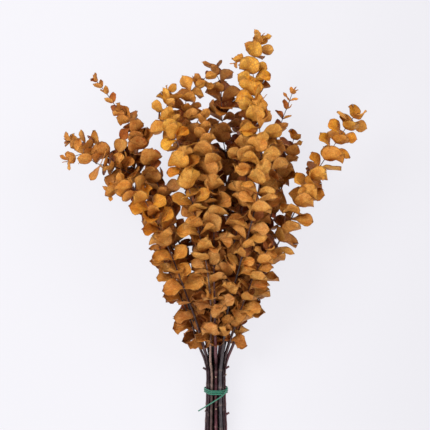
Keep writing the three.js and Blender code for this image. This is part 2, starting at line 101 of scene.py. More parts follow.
# Each stem: its slot in the bundle as steps right and rows up, how far below the gathering point it is cut, the
# seed of its leaves, how grown its tip leaves are, how far apart its pairs stand, the colours of its leaves and
# bark, and its route from above the tie. Where it has them, then come how slim its young leaves are, how fast
# the leaves of its tip grow, its stubs as distances along it and angles round it, the pale scars on its upper
# side, and its twigs, each with its seed, the age of its tip leaves and its route.
STEMS = {
    "top_tall": [
        [1, 2], 80, 11, 23, 0.82, "golden", "slate",
        [[11, 65, 57], [16, 110, 73], [26, 150, 88], [40, 205, 108], [51, 246, 120], [58, 279, 126],
         [63, 315, 128], [63, 345, 127], [61, 375, 125], [56, 408, 122], [53, 439, 120], [53, 465, 118],
         [60, 492, 115], [65, 507, 114]],
        {"twigs": [[12, 8, [[53, 468, 118], [44, 474, 119], [33, 471, 119], [25, 466, 118]]]]},
    ],
    "left_bright": [
        [-1, 2], 86, 17, 24, 0.84, "golden", "pale",
        [[-8, 65, 57], [-7, 110, 75], [-10, 155, 92], [-15, 190, 105], [-22, 220, 117], [-30, 256, 129],
         [-37, 287, 136], [-45, 320, 138], [-52, 347, 138], [-65, 374, 133], [-71, 396, 130], [-66, 414, 126],
         [-64, 431, 124]],
        {"scars": [34], "twigs": [[18, 24, [[-50, 340, 138], [-56, 362, 142], [-63, 384, 141]]]]},
    ],
    "centre_front": [
        [0, 2], 74, 13, 20, 0.84, "tan", "maroon",
        [[-1, 65, 61], [-2, 125, 84], [-3, 188, 102], [-3, 237, 113], [-5, 286, 122], [-11, 330, 128],
         [-17, 360, 128], [-19, 378, 126], [-18, 394, 123]],
        {"scars": [14, -34]},
    ],
    "left_front": [
        [-1.5, 1], 72, 19, 20, 0.84, "amber", "plum",
        [[-18, 60, 49], [-27, 93, 62], [-38, 125, 76], [-51, 162, 91], [-64, 197, 102], [-81, 235, 113],
         [-95, 264, 119], [-108, 284, 121], [-124, 293, 119], [-138, 292, 116], [-152, 286, 113]],
        {"stubs": [[-41, 180]]},
    ],
    "right_arching": [
        [2, 0], 84, 5, 46, 0.84, "golden", "maroon",
        [[25, 60, 37], [39, 95, 47], [62, 150, 60], [81, 194, 71], [98, 227, 79], [122, 274, 88],
         [145, 316, 92], [166, 348, 95], [184, 375, 98], [199, 396, 100]],
        {"stubs": [[25, 0], [-45, 0]]},
    ],
    "right_low": [
        [1.5, 1], 90, 7, 26, 0.95, "tan", "plum",
        [[19, 62, 49], [28, 92, 62], [40, 127, 78], [52, 160, 93], [64, 186, 104], [75, 208, 111]],
        {"stubs": [[14, 20]]},
    ],
    "left_arching": [
        [-1.5, -1], 88, 29, 18, 0.88, "tan", "ink",
        [[-21, 62, 28], [-38, 113, 38], [-55, 172, 50], [-72, 227, 60], [-87, 273, 68], [-101, 300, 72],
         [-114, 316, 75], [-131, 329, 77], [-148, 339, 78], [-166, 348, 78], [-183, 355, 78], [-200, 359, 78],
         [-214, 359, 78]],
        {"twigs": [[30, 14, [[-99, 297, 72], [-124, 313, 86], [-147, 322, 95], [-170, 326, 99],
         [-186, 338, 102], [-199, 337, 103], [-213, 328, 103]]]]},
    ],
    "left_high": [
        [-1, 0], 78, 61, 18, 1.05, "rusty", "slate",
        [[-13, 65, 37], [-28, 121, 47], [-42, 172, 59], [-56, 221, 69], [-69, 261, 77], [-81, 290, 83],
         [-92, 318, 88], [-102, 344, 92], [-111, 367, 94], [-126, 386, 96], [-141, 405, 97], [-156, 426, 98],
         [-173, 447, 98]],
        {"slim": 0.65, "pace": 0.25},
    ],
    "left_low": [
        [-2, 0], 76, 23, 26, 0.95, "tan", "plum",
        [[-26, 62, 38], [-39, 103, 52], [-54, 140, 64], [-67, 168, 71], [-75, 188, 74], [-82, 207, 76]],
        {"stubs": [[23, 180]]},
    ],
    "right_high": [
        [1, 0], 82, 47, 18, 1.05, "rusty", "ink",
        [[14, 66, 39], [30, 129, 51], [47, 194, 63], [62, 251, 75], [74, 301, 85], [83, 346, 92], [92, 381, 98],
         [102, 408, 102], [110, 430, 105]],
        {"slim": 0.65, "pace": 0.25},
    ],
    "centre_right": [
        [0.5, 1], 92, 53, 26, 0.92, "tan", "maroon",
        [[6, 66, 49], [11, 122, 67], [18, 173, 83], [28, 223, 98], [38, 265, 107], [43, 300, 112],
         [40, 331, 113], [45, 358, 111], [48, 387, 108], [46, 412, 105]],
        {"scars": [-30]},
    ],
    "centre_left": [
        [-0.5, 1], 70, 59, 20, 0.9, "amber", "ink",
        [[-6, 66, 47], [-11, 129, 64], [-16, 187, 80], [-19, 237, 92], [-22, 286, 100], [-28, 328, 103],
         [-35, 359, 104], [-40, 389, 104], [-43, 413, 102], [-35, 430, 100], [-23, 441, 97], [-11, 453, 94]],
        {"twigs": [[60, 22, [[-38, 377, 104], [-39, 392, 109], [-44, 405, 111]]]]},
    ],
    "centre_dark": [
        [-0.5, -1], 84, 67, 44, 0.98, "umber", "umber",
        [[-5, 66, 29], [-2, 128, 42], [2, 187, 54], [9, 240, 65], [14, 287, 72], [15, 330, 77], [11, 358, 79],
         [9, 385, 80], [8, 415, 80], [7, 440, 80], [0, 458, 79], [1, 470, 78]],
    ],
    "right_back": [
        [1.5, -1], 74, 43, 22, 1.06, "amber", "maroon",
        [[20, 64, 28], [39, 120, 36], [58, 176, 43], [71, 218, 48], [81, 252, 51], [89, 287, 54], [98, 319, 56],
         [109, 350, 59], [115, 368, 61]],
    ],
    "centre_core": [
        [0, 0], 88, 73, 26, 1.6, "brown", "ink",
        [[1, 66, 39], [9, 130, 52], [17, 190, 62], [23, 244, 69], [28, 287, 73], [28, 320, 75], [26, 341, 76]],
    ],
    "centre_back": [
        [0.5, -1], 80, 71, 22, 1.6, "brown", "slate",
        [[8, 68, 27], [17, 142, 35], [26, 208, 42], [35, 266, 47], [39, 316, 50], [35, 360, 52], [29, 396, 52]],
    ],
    "left_under": [
        [-1, -2], 72, 31, 22, 1.1, "brown", "maroon",
        [[-14, 62, 19], [-36, 120, 22], [-60, 178, 26], [-84, 230, 28], [-108, 272, 30], [-127, 303, 31]],
    ],
    "centre_under": [
        [0, -2], 76, 37, 22, 1.3, "brown", "plum",
        [[-3, 70, 19], [-10, 138, 22], [-18, 205, 25], [-26, 266, 27], [-37, 317, 29], [-47, 358, 30],
         [-55, 390, 30]],
    ],
    "right_under": [
        [1, -2], 84, 41, 22, 1.1, "brown", "slate",
        [[13, 65, 19], [30, 132, 22], [48, 193, 25], [66, 244, 27], [85, 288, 29], [101, 324, 30]],
    ],
}
FACTS = ("slot", "cut", "seed", "age", "apart", "leaves", "bark", "route")

# How a leaf bends away where it would touch a neighbour: pitch and twist in degrees, and its size
ATTITUDES = [
    [0, 0, 1], [-14, 0, 1], [14, 0, 1], [0, 35, 1], [0, -35, 1], [-20, 30, 0.9], [-20, -30, 0.9], [20, 40, 0.9],
    [10, 70, 0.8], [-10, -70, 0.8], [28, 0, 1], [-28, 0, 1], [28, -50, 0.9], [0, 100, 0.9], [0, -100, 0.9],
    [-30, 50, 0.85], [30, 60, 0.8], [24, -20, 0.7], [-24, 20, 0.7],
]

# Colours of the dry leaves and bark, as seen
PALETTE = {
    "golden": ("#E0A432", "#CC8420"),
    "amber": ("#D49430", "#BA6A16"),
    "tan": ("#D4994A", "#BC762C"),
    "umber": ("#B87428", "#965214"),
    "brown": ("#9C5016", "#80380A"),
    "rusty": ("#CC8838", "#A85A1C"),
}
UNDERSIDE = "#D6984C"
OLD_LEAF = "#C08A58"
# Painted shade: the dark brown that leaves low in the bunch and leaves under others are darkened towards
SHADE_LEAF_COLOUR = "#7E370A"
BUD_COLOUR = "#A0522E"
# How strong these colours get: by a leaf's age, and, as painted shade, by its height in the bunch and by how
# much lies over it
BUD_AGE = 16
BUD_SHARE = 0.6
OLD_FROM = 120
OLD_BY = 280
OLDEST = 0.5
LOW_SHADE_FROM = 88
LOW_SHADE_BY = 20
MOST_LOW_SHADE = 0.38
COVER_SHADE_FROM = 4
COVER_SHADE_BY = 22
MOST_COVER_SHADE = 0.84
TAN_CHANCE = 0.14
BARK = {
    "maroon": "#4E2830", "plum": "#3A242C", "slate": "#2C282D", "ink": "#19181E", "umber": "#3E2A28",
    "pale": "#80685F",
}
UPPER_BARK = "#40261F"
SCAR = "#6B5A52"
PALE_SCAR = "#A88C78"
CUT_WOOD = "#C9AE86"
GREEN_COAT = "#2C7660"
STEEL = "#9A9C98"
# The pale stem is brown up to here, and pale from there
PALE_FROM = -12
PALE_BY = 28
PALE_SLENDER = 0.74

UP = Vector((0, 0, 1))


def linear(colour):
    """The linear light of a colour written as seen."""
    levels = [int(colour[i:i + 2], 16) / 255 for i in (1, 3, 5)]
    return Vector([(v / 12.92 if v <= 0.04045 else ((v + 0.055) / 1.055) ** 2.4) for v in levels])


def clamp(value, low, high):
    return max(low, min(high, value))


def part(value, start, end):
    """How far a value has come on its way from a start to an end, from 0 to 1."""
    return clamp((value - start) / (end - start), 0, 1)


def draws_from(seed):
    """A seeded stream of draws between 0 and 1, the same as the frame's."""
    state = seed * 7919
    skipped = 0
    while True:
        state = state * 16807 % 2147483647
        skipped += 1
        if skipped > 5:
            yield state / 2147483647


class Route:
    """A smooth curve through points, measured along its length."""

    STEPS = 200

    def __init__(self, points):
        self.points = [Vector(p) for p in points]
        places = [self.at(i / self.STEPS) for i in range(self.STEPS + 1)]
        self.lengths = [0]
        for before, after in zip(places, places[1:]):
            self.lengths.append(self.lengths[-1] + (after - before).length)
        self.length = self.lengths[-1]

    def at(self, share):
        last = len(self.points) - 1
        place = last * share
        i = min(int(place), last - 1)
        w = place - i
        p1, p2 = self.points[i], self.points[i + 1]
        p0 = self.points[i - 1] if i > 0 else 2 * p1 - p2
        p3 = self.points[i + 2] if i + 2 <= last else 2 * p2 - p1
        t0, t1 = (p2 - p0) * 0.5, (p3 - p1) * 0.5
        return p1 + t0 * w + (3 * (p2 - p1) - 2 * t0 - t1) * w ** 2 + (2 * (p1 - p2) + t0 + t1) * w ** 3

    def along(self, distance):
        distance = clamp(distance, 0, self.length)
        low = min(bisect_right(self.lengths, distance), self.STEPS) - 1
        step = (distance - self.lengths[low]) / (self.lengths[low + 1] - self.lengths[low])
        return self.at((low + step) / self.STEPS)


def bundle_height(along):
    return BUNDLE_HEIGHT + BUNDLE_SLOPE * along


def slot_point(slot, along):
    """The middle of a slot of the bundle at a distance along it."""
    below = max(0, -along - STRAIGHT_BELOW)
    above = max(0, along - STRAIGHT_ABOVE)
    spread = 1 + BUNDLE_SPREAD * below + BUNDLE_OPENING * above
    right, row = slot
    rise = row * STEM_PITCH * ROW_RISE * spread
    return Vector((right * STEM_PITCH * spread, along, bundle_height(along) + rise))


def axes_along(centres):
    """The direction and the two axes across at each centre of a tube."""
    last = len(centres) - 1
    axes = []
    for i in range(last + 1):
        along = (centres[min(i + 1, last)] - centres[max(i - 1, 0)]).normalized()
        side = along.cross(UP).normalized()
        axes.append((along, side, side.cross(along)))
    return axes


def pair_distances(length, bare, apart, draw):
    """The distances from the tip down at which the pairs of leaves of a branch stand."""
    distances = []
    from_tip = FIRST_PAIR
    while from_tip < length - bare:
        distances.append(from_tip)
        spacing = SPRAY_SPACING + LOW_SPACING * (from_tip - SPRAY_LENGTH)
        if from_tip < SPRAY_LENGTH:
            spacing = TIP_SPACING + (SPRAY_SPACING - TIP_SPACING) * (from_tip / SPRAY_LENGTH)
        from_tip += spacing * apart * (LEAST_SPACING + SPACING_RANGE * next(draw))
    return distances


def leaf_age(from_tip, age, pace):
    """How grown a leaf is: it grows with its distance from the tip, more slowly in a young tip."""
    return age + pace * min(from_tip, YOUNG_TIP) + max(0, from_tip - YOUNG_TIP)


class Branch:
    """A stem or twig: its route, its radius along it, and the leaves that it bears."""

    def __init__(self, route, low, full_up_to, full_radius, bare, seed, age, apart, slim=SLIMNESS, pace=1):
        draw = draws_from(seed)
        self.curve = Route(route)
        self.length = self.curve.length
        self.full_up_to = full_up_to
        self.full_radius = full_radius
        distances = pair_distances(self.length, bare, apart, draw)
        self.nodes = [self.length - from_tip for from_tip in distances]
        self.old_nodes = self.bare_nodes(bare, draws_from(seed + 400))
        places = [*low, *reversed(self.nodes), self.length]
        centres = [self.curve.along(place) for place in places]
        axes = axes_along(centres)
        turn = 90 * next(draw)
        self.leaves = []
        for pair, from_tip in enumerate(distances):
            ring = len(places) - 2 - pair
            radius, own_age = self.radius(places[ring]), leaf_age(from_tip, age, pace)
            for half in (0, 1):
                leaf = Leaf(centres[ring], axes[ring], radius, pair, half, own_age, slim, turn, draw)
                self.leaves.append(leaf)
        self.added = self.added_leaves(distances, age, slim, pace, turn, draws_from(seed + 200))
        self.added += self.bud_leaves(turn, draws_from(seed + 300))

    def bud_leaves(self, turn, draw):
        """The few small leaves that close the tip."""
        centres = [self.curve.along(self.length - back) for back in (4, 1.5, 0)]
        axes = axes_along(centres)[2]
        leaves = []
        for half, (age, back) in enumerate(BUD_LEAVES):
            centre = self.curve.along(self.length - back)
            turned = turn + BUD_TURN * half
            leaf = Leaf(centre, axes, TIP_RADIUS * 0.6, 0, half, age, BUD_SLIMNESS, turned, draw)
            leaf.pitch -= BUD_RISE
            leaves.append(leaf)
        return leaves

    def added_leaves(self, distances, age, slim, pace, turn, draw):
        """Further pairs half-way between those of the frame, turned between them."""
        leaves = []
        for pair, (near, far) in enumerate(zip(distances, distances[1:])):
            if far - near < ADDED_GAP:
                continue
            from_tip = (near + far) / 2
            place = self.length - from_tip
            centres = [self.curve.along(place + step) for step in (-4, 0, 4)]
            axes = axes_along(centres)[1]
            radius, own_age = self.radius(place), leaf_age(from_tip, age, pace)
            for half in (0, 1):
                leaf = Leaf(centres[1], axes, radius, pair, half, own_age, slim, turn + ADDED_TURN, draw)
                leaf.pitch += ADDED_LEAN * next(draw)
                leaves.append(leaf)
        return leaves

    def bare_nodes(self, bare, draw):
        """The places on the bare wood where leaves once were."""
        nodes = []
        place = 6 + 24 * next(draw)
        while place < bare:
            nodes.append(place)
            place += 24 + 22 * next(draw)
        return nodes

    def above(self, place):
        """How far up its thinning part a place is, from 0 to 1."""
        return part(place, self.full_up_to, self.length)

    def radius(self, place):
        return TIP_RADIUS + (self.full_radius - TIP_RADIUS) * (1 - self.above(place)) ** 1.5


class Leaf:
    """One leaf of a pair, on the side of the stem that its direction is nearest to."""

    def __init__(self, centre, axes, radius, pair, half, age, slim, turn, draw):
        self.along, side, up = axes
        spin, pitch, twist, size, plump, cup, wave = [next(draw) for _ in range(7)]
        grown = 1 - math.exp(-age / 32)
        curled = CURLED * part(age, CURLED_FROM, CURLED_BY)
        roundness = 1 - slim * math.exp(-age / (ROUNDED_BY * slim)) - curled
        self.age = age
        self.length = LEAF_LENGTH * grown * (0.86 + 0.28 * size)
        self.width = self.length * (roundness + 0.14 * (plump - 0.5))
        wanted = turn + 90 * (pair % 2) + 180 * half
        side_index = (math.floor(wanted / 360 * STEM_SIDES + 0.5) - 1) % STEM_SIDES
        flat_side = math.radians(360 * (side_index + 1) / STEM_SIDES)
        flat_radius = radius * math.cos(math.pi / STEM_SIDES)
        self.face = side * math.cos(flat_side) + up * math.sin(flat_side)
        self.foot = centre + self.face * flat_radius
        around = flat_side + math.radians(12 * (spin - 0.5))
        self.out = side * math.cos(around) + up * math.sin(around)
        self.pitch = 38 + 30 * grown * math.cos(flat_side) ** 2 + 26 * (pitch - 0.5)
        self.twist = (1 if twist < 0.85 else -1) * (35 + 40 * abs(2 * twist - 1))
        self.cup = self.length * (0.04 + 0.16 * cup)
        self.wave = self.length * 0.1 * (wave - 0.5)
        self.is_round = self.length > SMALL_LEAF
        self.first, self.foot_twist = (0.11, 0.06) if self.is_round else (0.24, 0.4)

    def turn_to(self, attitude):
        """Sets the leaf's axes and size for one attitude."""
        pitch, twist, self.scale = attitude
        lean = math.radians(max(LEAST_LEAN, self.pitch + pitch))
        self.forward = self.along * math.cos(lean) + self.out * math.sin(lean)
        self.flat_across = self.along.cross(self.out)
        self.flat_normal = self.forward.cross(self.flat_across)
        facing = -1 if self.flat_normal.z * self.flat_across.z >= 0 else 1
        self.roll = math.radians(clamp(self.twist * facing + twist, -MOST_ROLL, MOST_ROLL))

    def axes_at(self, a):
        """The axes across and off the blade at a share of its length: it twists from the foot out."""
        turned = self.roll * clamp((a - self.first) / (TWISTED_BY - self.first), self.foot_twist, 1)
        across = self.flat_across * math.cos(turned) + self.flat_normal * math.sin(turned)
        normal = self.flat_normal * math.cos(turned) - self.flat_across * math.sin(turned)
        return across, normal

    def point(self, a, b, lift):
        """A point of the blade at shares of its length and width, lifted off its middle."""
        across, normal = self.axes_at(a)
        return (self.foot + self.forward * (a * self.length * self.scale)
                + across * (b * self.width * self.scale) + normal * (lift * self.scale))

    def frame_marks(self):
        """Three corners of the frame's own blade in this attitude."""
        widest, wide, waved = (0.43, 0.52, 0.8) if self.is_round else (0.74, 0.44, 1)
        rim = [(widest, wide, 1, -waved), (1, 0, 0.3, 0), (widest, -wide, 1, waved)]
        return [self.point(a, b, cup * self.cup + wave * self.wave + BLADE_THICKNESS / 2 / self.scale)
                for a, b, cup, wave in rim]


BLADE_ROWS = [-0.06, 0.02, 0.08, 0.19, 0.34, 0.5, 0.66, 0.81, 0.92, 0.985, 1.03]
BLADE_COLUMNS = [-1, -0.82, -0.52, -0.2, 0, 0.2, 0.52, 0.82, 1]
FINE_THICKNESS = 0.42
EDGE_THINNER = 0.45
STALK_WIDTH = 0.05
TIP_WIDTH = 0.012
# A blade's fullness, how much it narrows along its length, and the roundness of its base
ROUND_OVAL = (0.54, 0.03, 0.52)
SMALL_OVAL = (0.51, 0.1, 0.64)
CRUMPLED = 0.055
GROOVE_DEPTH = 0.5
GROOVE_WIDTH = 0.16
CUP_ALONG = [(0, 0.05), (0.11, 0.15), (0.43, 1), (0.8, 0.8), (1, 0.4)]
WAVE_ALONG = [(0, 0), (0.11, 0.3), (0.43, -0.8), (0.8, 1), (1, 0)]
CUP_POWER = 2.2
FINE_CUP = 0.17
# Where added leaves may reach, and the least gap between a blade and the surface
LOWEST = 2.5
HIGHEST = cad_box[1][2] * 1000 + MIDDLE.z
OVER_FLOOR = 0.3
MOST_CROWDED = 1
HIDING = 2
ADDED_GAP = 17
ADDED_TURN = 60
ADDED_LEAN = 22

# The age of each small leaf at a tip and how far back it starts
BUD_LEAVES = [(9, 0.6), (7, 1.2), (12, 2.2)]
BUD_SLIMNESS = 0.75
BUD_TURN = 130
BUD_RISE = 30


def between(value, points):
    """A value read off a list of (place, value) points joined by straight lines."""
    for (x0, y0), (x1, y1) in zip(points, points[1:]):
        if value <= x1:
            return y0 + (y1 - y0) * part(value, x0, x1)
    return points[-1][1]


def half_width(a, is_round, pointed=0.92):
    """Half the blade's width at a share of its length: an oval with a short drawn-out tip."""
    if a <= 0 or a >= 1:
        return STALK_WIDTH if a <= 0 else TIP_WIDTH
    oval = math.sqrt(1 - (1 - 2 * a) ** 2)
    fullness, narrows, base = ROUND_OVAL if is_round else SMALL_OVAL
    return (fullness - narrows * a) * oval ** (base if a < 0.5 else pointed)


def blade_lift(leaf, a, s, marks):
    """How far the blade stands off its middle plane: its cup, its wave, its dried curl and its crumples."""
    cup = between(a, CUP_ALONG)
    wave = between(a, WAVE_ALONG)
    sign = 1 if s >= 0 else -1
    lift = leaf.cup * cup * FINE_CUP * abs(s) ** CUP_POWER + leaf.wave * wave * sign * abs(s) ** 1.5
    if a > 0:
        crumple = noise.noise(Vector((a * 3.1, s * 1.7 + 9, marks["place"])))
        ripple = math.sin(marks["ripples"] * a * math.pi + (2.1 if s > 0 else 0)) * abs(s) ** 4
        lift += leaf.length * (CRUMPLED * crumple * (0.3 + abs(s)) * min(1, a * 3) + marks["crisp"] * ripple)
        lift += leaf.length * marks["curl"] * a * a
    lift += leaf.length * marks["fold"] * abs(s) * clamp(a * 4, 0, 1)
    groove = GROOVE_DEPTH * math.exp(-(s / GROOVE_WIDTH) ** 2) * (1 - clamp(a, 0, 1)) ** 0.5
    return lift - groove


def add_object(name, data):
    made = bpy.data.objects.new(name, data)
    bpy.context.scene.collection.objects.link(made)
    return made


class PieceMesh:
    """Gathers vertices, faces, colours and leaf coordinates, and makes one object from them."""

    def __init__(self):
        self.points, self.faces, self.tints, self.places, self.materials = [], [], [], [], []

    def add_point(self, point, tint, place=(0, 0, 0)):
        self.points.append((point - MIDDLE) * 0.001)
        self.tints.append((*tint, 1))
        self.places.append(place)
        return len(self.points) - 1

    def add_face(self, corners, material=0):
        self.faces.append(corners)
        self.materials.append(material)

    def add_tube(self, rings, tints, caps, shade=None):
        """Rings of points joined into a closed tube; caps are the two ends' tints."""
        sides = len(rings[0])
        first = len(self.points)
        for ring, tint in zip(rings, tints):
            for point in ring:
                # Painted shade and light: each point's tint is scaled by the shade, which is also kept as its
                # place for the bark's specular
                lit = shade(point) if shade else 1
                self.add_point(point, tint * lit, (lit, 0, 0))
        for i in range(len(rings) - 1):
            for k in range(sides):
                low = first + i * sides + k
                next_low = first + i * sides + (k + 1) % sides
                self.add_face((low, next_low, next_low + sides, low + sides))
        for ring, cap, flip in ((rings[0], caps[0], True), (rings[-1], caps[1], False)):
            middle = sum(ring, Vector()) / sides
            inner = [self.add_point(point.lerp(middle, 0.04), cap) for point in ring]
            outer = [first + k + (0 if flip else (len(rings) - 1) * sides) for k in range(sides)]
            centre = self.add_point(middle, cap * 0.75)
            for k in range(sides):
                n = (k + 1) % sides
                band = (outer[k], outer[n], inner[n], inner[k])
                wedge = (inner[k], inner[n], centre)
                self.add_face(tuple(reversed(band)) if flip else band)
                self.add_face(tuple(reversed(wedge)) if flip else wedge)

    def make(self, name, materials, slot, *replaced):
        mesh = bpy.data.meshes.new(name)
        mesh.from_pydata(self.points, [], self.faces)
        mesh.polygons.foreach_set("material_index", self.materials)
        mesh.polygons.foreach_set("use_smooth", [True] * len(self.faces))
        tint = mesh.attributes.new("tint", "FLOAT_COLOR", "POINT")
        tint.data.foreach_set("color", [v for t in self.tints for v in t])
        place = mesh.attributes.new("place", "FLOAT_VECTOR", "POINT")
        place.data.foreach_set("vector", [v for p in self.places for v in p])
        for material in materials:
            mesh.materials.append(material)
        mesh.validate()
        made = add_object(name, mesh)
        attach(made, "root")
        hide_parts(*replaced)


def add_blade(piece, leaf, tint, under_tint, marks):
    """A thin cupped blade on a fine grid, with its own colour on each face."""
    columns = len(BLADE_COLUMNS)
    layers = []
    for side in (1, -1):
        layer = []
        for a in BLADE_ROWS:
            wide = half_width(a, leaf.is_round, marks["pointed"])
            for s in BLADE_COLUMNS:
                uneven = noise.noise(Vector((a * 3.4, 2 if s > 0 else -2, marks["place"])))
                notch = 1 + marks["uneven"] * uneven * s * s
                thick = FINE_THICKNESS * (1 - EDGE_THINNER * abs(s)) / leaf.scale
                lift = blade_lift(leaf, a, s, marks) + side * thick / 2
                edge = max(abs(s), (a - 0.5) * 2)
                colour = tint if side > 0 else under_tint
                point = leaf.point(a, s * wide * notch, lift)
                point.z = max(point.z, MIDDLE.z + OVER_FLOOR)
                layer.append(piece.add_point(point, colour, (a, s * wide, edge if a > 0 else 0)))
        layers.append(layer)
    top, bottom = layers
    for i in range(len(BLADE_ROWS) - 1):
        for k in range(columns - 1):
            p = i * columns + k
            square = (p, p + 1, p + columns + 1, p + columns)
            piece.add_face(tuple(top[q] for q in reversed(square)), 0)
            piece.add_face(tuple(bottom[q] for q in square), 1)
    rim = [*range(columns), *range(2 * columns - 1, len(top), columns),
           *range(len(top) - 2, len(top) - columns - 1, -1), *range(len(top) - 2 * columns, 0, -columns)]
    for p, q in zip(rim, rim[1:] + rim[:1]):
        piece.add_face((top[p], top[q], bottom[q], bottom[p]), 1)


BARK_SIDES = 12
BARE_STEP = 4
LEAFY_STEP = 7
SWELLING = 0.16
# Bark against the frame's stems: its share of their radius, at the wire, off it and above the bundle
THICKEST = 0.86
THINNER_OFF_WIRE = 0.07
THINNER_ABOVE = 0.17
AT_WIRE = 6
OFF_WIRE = 20
# Painted shade on the bark: darkened inside the bundle where stems face each other and lightened on its
# outside, up to a height above its opening
INNER_SHADE = 0.03
OUTER_SHADE = 1.6
SHADE_FROM = 0.76
SHADE_OVER = 0.2
SHADED_UP_TO = 78
PATCHES = 0.8


def fine_places(branch, low_end):
    """Places for rings along a branch: close together on bare wood, and three at each leaf node."""
    places = [0]
    while places[-1] < branch.length - 1:
        places.append(places[-1] + (BARE_STEP if places[-1] < low_end else LEAFY_STEP))
    places[-1] = branch.length
    for node in branch.nodes + branch.old_nodes:
        places += [node - 1.6, node, node + 1.3]
    places = sorted(p for p in places if 0 <= p <= branch.length)
    return [p for p, before in zip(places, [-9, *places]) if p - before > 0.6]


def circle(centre, side, up, radius, sides=BARK_SIDES):
    angles = [2 * math.pi * k / sides for k in range(sides)]
    return [centre + side * (radius * math.cos(t)) + up * (radius * math.sin(t)) for t in angles]


def nearness(place, nodes, reach):
    """How near a place along a stem is to its nodes: 1 at a node and falling off from it."""
    return max([math.exp(-((place - node) / reach) ** 2) for node in nodes] or [0])


def bark_colour(branch, place, bark, seed):
    """Bark in the stem's own colour at the cut end and browner in the spray, with paler scars at the nodes."""
    lower = linear(BARK[bark])
    if bark == "pale":
        lower = linear(BARK["umber"]).lerp(lower, part(branch.curve.along(place).y, PALE_FROM, PALE_BY))
    colour = lower.lerp(linear(UPPER_BARK), clamp(branch.above(place) * 1.6, 0, 0.9))
    patch = noise.noise(Vector((place * 0.03, seed * 3.7, 0)))
    colour = colour * (1 + PATCHES * patch)
    return colour.lerp(linear(SCAR), 0.5 * nearness(place, branch.nodes + branch.old_nodes, 1.2))


def add_scar(piece, centre, out, along, radius):
    """A small pale scar where a twig once grew: a low round patch on the bark."""
    side = along.cross(out).normalized()
    rings = [circle(centre + out * (radius + rise), side, along, wide, 8)
             for rise, wide in ((-0.9, 1.4), (0.05, 1.2), (0.3, 0.8))]
    bark, pale = linear(BARK["umber"]), linear(PALE_SCAR)
    piece.add_tube(rings, [bark, bark.lerp(pale, 0.5), pale], (bark, pale))


def bundle_shade(point):
    """The painted shade on bark inside the bundle, where stems face each other, and the painted light on its
    outside.
    """
    if point.y > SHADED_UP_TO:
        return 1
    spread = (slot_point((1, 0), point.y) - slot_point((0, 0), point.y)).x / STEM_PITCH
    reach = 2 * STEM_PITCH * spread + STEM_RADIUS
    depth = math.hypot(point.x, point.z - bundle_height(point.y)) / reach
    shade = INNER_SHADE + (OUTER_SHADE - INNER_SHADE) * clamp((depth - SHADE_FROM) / SHADE_OVER, 0, 1)
    return shade + (1 - shade) * part(point.y, OPENING_ABOVE, SHADED_UP_TO)


def add_branch(piece, branch, low_end, bark, seed):
    places = fine_places(branch, low_end)
    centres = [branch.curve.along(place) for place in places]
    thinner = PALE_SLENDER if bark == "pale" else 1
    rings, tints = [], []
    for place, centre, (along, side, up) in zip(places, centres, axes_along(centres)):
        swelling = max(nearness(place, branch.nodes, 1.5), 0.8 * nearness(place, branch.old_nodes, 2.4))
        knob = 0.05 * noise.noise(Vector((place * 0.11, seed, 4)))
        off_wire = part(abs(centre.y - WIRE_ALONG), AT_WIRE, OFF_WIRE)
        slender = THICKEST - THINNER_OFF_WIRE * off_wire - THINNER_ABOVE * clamp(branch.above(place) * 3, 0, 1)
        radius = branch.radius(place) * thinner * (slender + SWELLING * swelling + knob)
        rings.append(circle(centre, side, up, radius))
        tints.append(bark_colour(branch, place, bark, seed))
    piece.add_tube(rings, tints, (linear(CUT_WOOD), linear(UPPER_BARK)), bundle_shade)


def add_stub(piece, slot, along, angle, bark):
    """A short cut stub of a side twig with a pale end."""
    foot = slot_point(slot, along)
    out = Vector((math.cos(math.radians(angle)), 0.5, math.sin(math.radians(angle))))
    centres = [foot + out * (STUB_LENGTH * share) for share in (0, 0.42, 0.6, 0.9, 1)]
    axes = axes_along(centres)
    rings = [circle(c, side, up, STUB_RADIUS * wide)
             for c, (_, side, up), wide in zip(centres, axes, (1.3, 1.15, 0.98, 0.95, 0.85))]
    bark = linear(BARK[bark])
    cut = linear(CUT_WOOD)
    piece.add_tube(rings, [bark] * 4 + [bark.lerp(cut, 0.4)], (bark, cut))


def wire_centres():
    """The wire's path: turns round the bundle's twelve outer corners, then a crossing and the free end."""
    corner = (2 * STEM_PITCH + STEM_RADIUS * ROW_RISE, STEM_RADIUS / 2)
    reach = math.hypot(*corner) + (WIRE_RADIUS + WIRE_GAP) / math.cos(math.pi / 12)
    corner_angle = math.atan2(corner[1], corner[0])
    centres = []
    for step in range(12 * WIRE_TURNS + 2):
        angle = step // 2 * (math.pi / 3) + (-corner_angle if step % 2 == 0 else corner_angle)
        along = WIRE_ALONG + step / 12 * WIRE_RISE - WIRE_TURNS / 2 * WIRE_RISE
        right, up = reach * math.cos(angle), reach * math.sin(angle)
        centres.append(Vector((right, along - BUNDLE_SLOPE * up, bundle_height(along) + up)))
    return centres + [Vector((x, WIRE_ALONG + y, bundle_height(WIRE_ALONG + y) + z)) for x, y, z in TAIL]


def make_tie(material):
    centres = wire_centres()
    path = Route(centres)
    count = 4 * len(centres)
    fine = [path.along(path.length * i / count) for i in range(count + 1)]
    rings = []
    last_side = None
    for i, centre in enumerate(fine):
        along = (fine[min(i + 1, count)] - fine[max(i - 1, 0)]).normalized()
        side = last_side or along.orthogonal()
        side = (side - along * side.dot(along)).normalized()
        last_side = side
        rings.append(circle(centre, side, along.cross(side), WIRE_RADIUS * 0.97, 10))
    piece = PieceMesh()
    piece.add_tube(rings, [linear(GREEN_COAT)] * len(rings), (linear(STEEL), linear(STEEL)))
    piece.make("green_wire_tie", [material], "tie", "tie")


MARK_WITHIN = 0.3


def leaf_attitude(leaf, tree):
    """The attitude in which the frame holds this leaf, or none where it has no such leaf."""
    for attitude in ATTITUDES:
        leaf.turn_to(attitude)
        if all(tree.find(mark)[2] < MARK_WITHIN for mark in leaf.frame_marks()):
            return attitude
    return None


